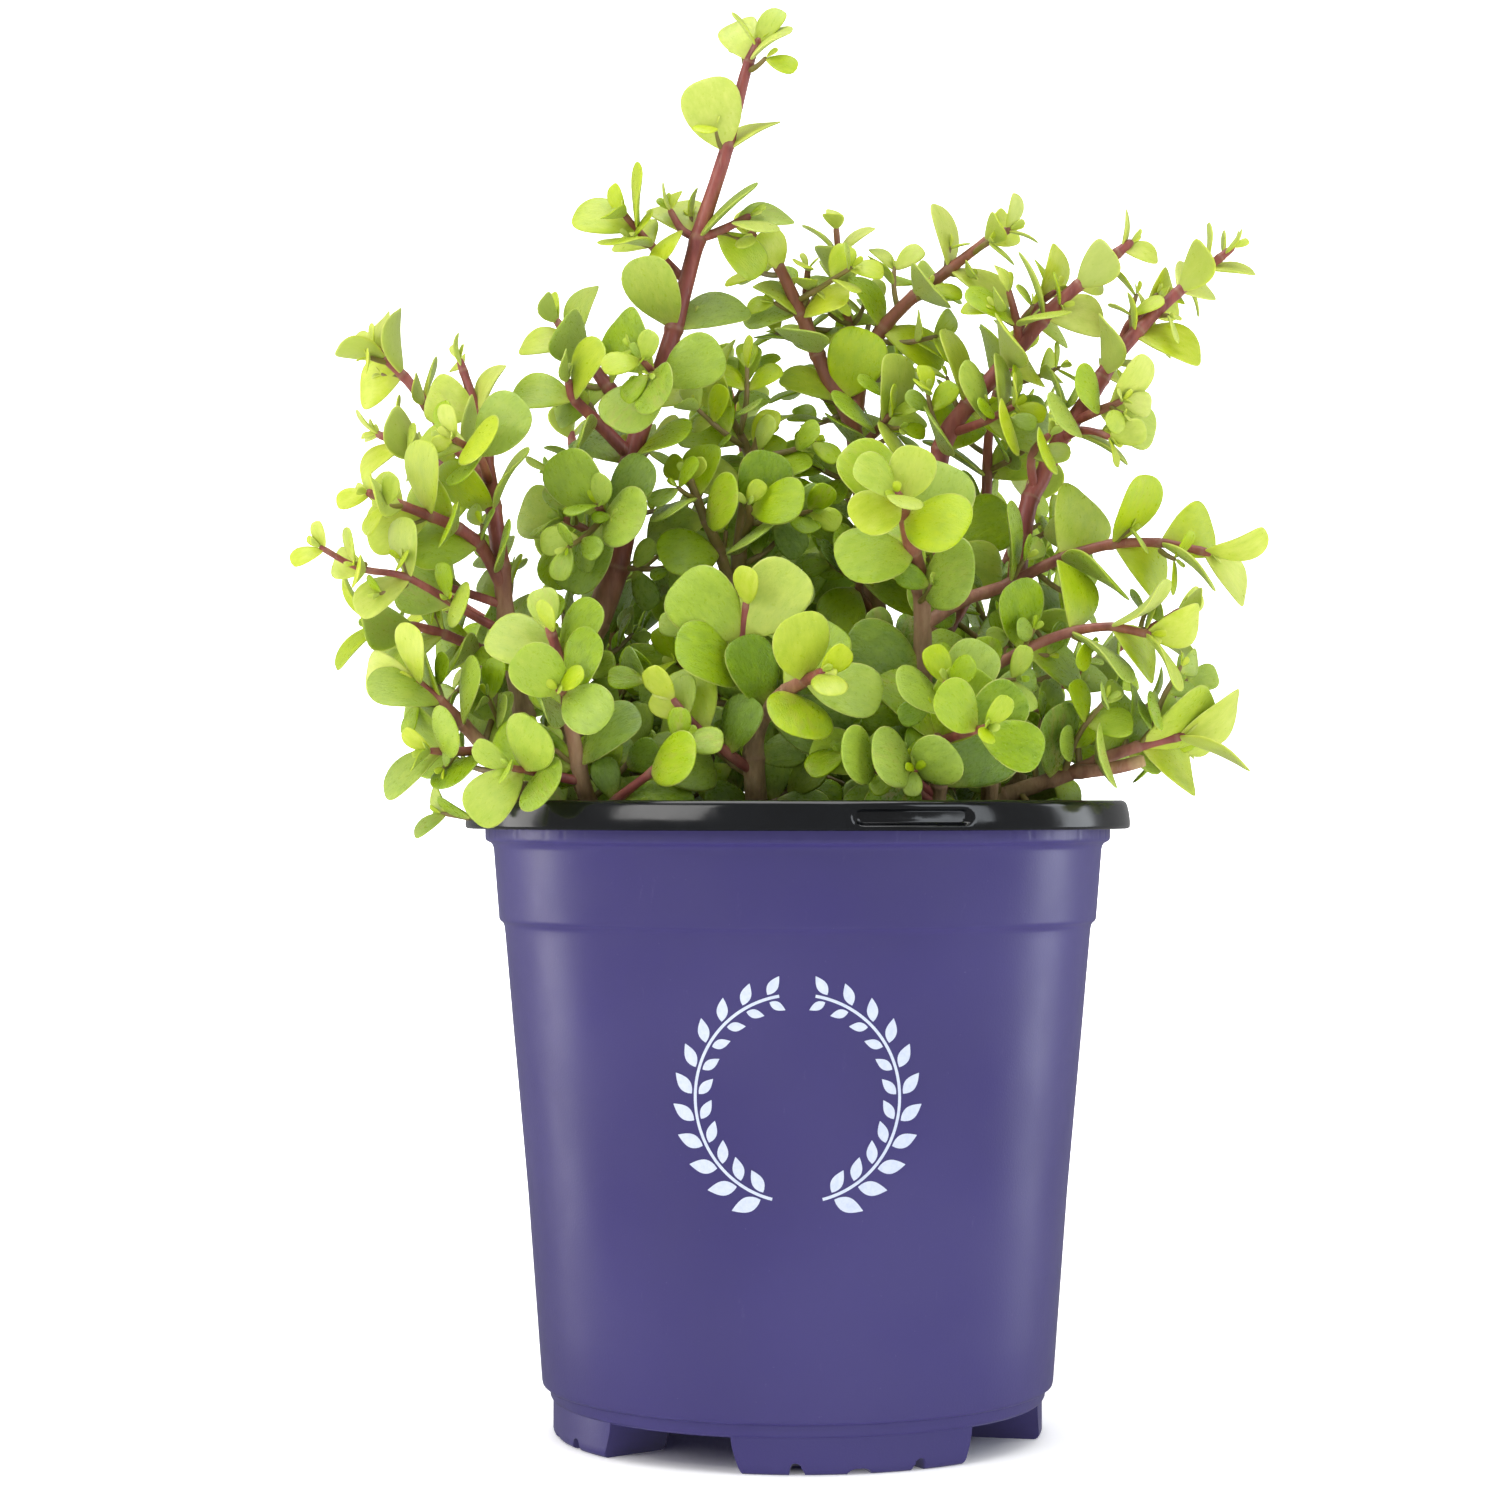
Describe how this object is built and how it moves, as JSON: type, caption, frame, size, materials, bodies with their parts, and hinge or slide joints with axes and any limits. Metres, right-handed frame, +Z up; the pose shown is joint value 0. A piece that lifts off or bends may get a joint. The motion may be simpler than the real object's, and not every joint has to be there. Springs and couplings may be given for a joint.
{
  "type": "potted elephant bush",
  "caption": "Elephant bush, a succulent with paired round fleshy leaves on forked woody stems, in a round tapered nursery pot with a rolled rim, a tag slot and feet.",
  "frame": {"origin": "on the ground under the middle of the pot, which is also the middle of the whole object's box", "axes": "+Z up along the pot's axis, +Y away from the side seen in front, +X to the right seen from the front"},
  "size_m": [0.2316, 0.1665, 0.3523],
  "materials": {
    "pot_plastic": "satin purple outside, black inside and on the rim",
    "potting_mix": "rough dark bark and peat mix",
    "leafy_stem": "satin fleshy green leaves on red-brown stems"
  },
  "bodies": {
    "root": {"pot": "pot_plastic", "soil": "potting_mix", "tall_stem": "leafy_stem", "left_stem": "leafy_stem", "low_left_stem": "leafy_stem", "front_left_stem": "leafy_stem", "front_stem": "leafy_stem", "cut_stem": "leafy_stem", "fork_stem": "leafy_stem", "right_stem": "leafy_stem", "far_right_stem": "leafy_stem", "rosette_stem": "leafy_stem", "low_right_stem": "leafy_stem", "front_right_stem": "leafy_stem", "back_left_stem": "leafy_stem", "back_stem": "leafy_stem", "back_right_stem": "leafy_stem"}
  },
  "joints": []
}
